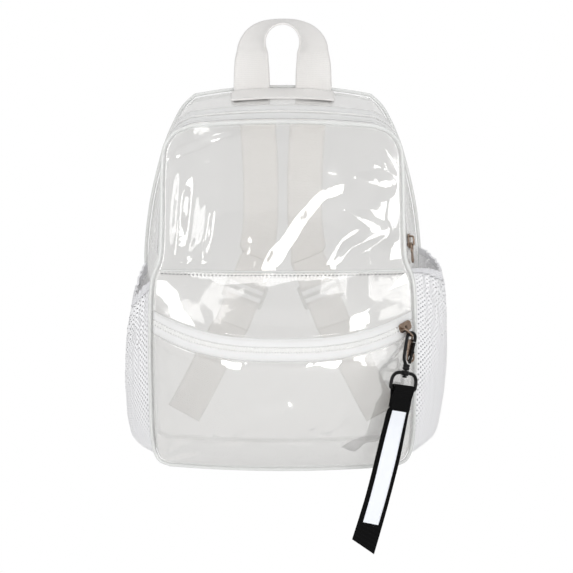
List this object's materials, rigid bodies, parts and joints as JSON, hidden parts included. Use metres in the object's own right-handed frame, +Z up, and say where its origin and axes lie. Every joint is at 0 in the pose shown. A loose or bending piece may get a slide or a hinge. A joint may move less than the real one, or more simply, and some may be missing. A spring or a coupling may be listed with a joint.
{
  "type": "clear stadium backpack",
  "caption": "Small clear vinyl backpack with a webbing loop handle, a curved front pocket zip, knitted side pockets and a snap-hook strap hanging from the pocket zip.",
  "frame": {"origin": "the underside of the carrying handle's crown, where the bag hangs on a hook or hand", "axes": "+Z up along the bag's height, the front pocket faces -Y, +X is to the right as seen from the front"},
  "size_m": [0.2681, 0.1821, 0.4196],
  "materials": {
    "clear_vinyl": "clear flexible vinyl film, glossy and slightly grey where layers lie behind each other",
    "vinyl_piping": "milky vinyl bound over a cord, sewn into the seams",
    "zip_tape": "white woven zip tape",
    "zip_coil": "white nylon coil",
    "white_webbing": "off-white woven webbing",
    "white_mesh": "white knitted mesh with small open holes",
    "adjuster": "white moulded plastic",
    "gunmetal": "polished gunmetal plating, slightly bronze",
    "black_metal": "black coated metal",
    "black_webbing": "black woven webbing",
    "white_ribbon": "smooth white ribbon, bare"
  },
  "bodies": {
    "bag": {"back_panel": "clear_vinyl", "front_panel": "clear_vinyl", "gusset_lower": "clear_vinyl", "gusset_upper_front": "clear_vinyl", "gusset_upper_back": "clear_vinyl", "main_zip_tape_front": "zip_tape", "main_zip_tape_back": "zip_tape", "main_zip_coil": "zip_coil", "main_slider": "gunmetal", "front_piping": "vinyl_piping", "back_piping": "vinyl_piping", "pocket_lower_panel": "clear_vinyl", "pocket_upper_panel": "clear_vinyl", "pocket_zip_tape_lower": "zip_tape", "pocket_zip_tape_upper": "zip_tape", "pocket_zip_coil": "zip_coil", "pocket_slider": "gunmetal", "mesh_pocket_left": "white_mesh", "mesh_pocket_right": "white_mesh", "pocket_elastic_left": "white_webbing", "pocket_elastic_right": "white_webbing", "handle": "white_webbing", "handle_patch": "white_webbing", "shoulder_strap_left": "white_webbing", "shoulder_strap_right": "white_webbing", "strap_adjuster_left": "adjuster", "strap_adjuster_right": "adjuster", "strap_webbing_left": "white_webbing", "strap_webbing_right": "white_webbing", "snap_hook": "black_metal"},
    "main_pull": {"main_puller": "gunmetal"},
    "pocket_pull": {"pocket_puller": "gunmetal"},
    "gate": {"hook_gate": "black_metal"},
    "strap_swivel": {"swivel_ring": "black_metal", "lanyard_webbing": "black_webbing", "lanyard_ribbon": "white_ribbon"}
  },
  "joints": [
    {"name": "main_puller_lift", "type": "hinge", "parent": "bag", "child": "main_pull", "pos_m": [0.10571, -0.05631, -0.17442], "axis": [-0.2618, -0.96, 0.0993], "range_deg": [0, 100]},
    {"name": "pocket_puller_swing", "type": "hinge", "parent": "bag", "child": "pocket_pull", "pos_m": [0.1033, -0.09023, -0.24408], "axis": [0.5522, -0.8294, 0.0853], "range_deg": [-45, 45]},
    {"name": "gate_open", "type": "hinge", "parent": "bag", "child": "gate", "pos_m": [0.10316, -0.09529, -0.26552], "axis": [0.5938, -0.8017, 0.0689], "range_deg": [0, 18], "stiffness_Nm_per_rad": 0.01, "springref_deg": -20.05},
    {"name": "strap_turn", "type": "hinge", "parent": "bag", "child": "strap_swivel", "pos_m": [0.10468, -0.09231, -0.24386], "axis": [0.1656, 0.2055, 0.9646], "range_deg": [-25, 25]}
  ]
}
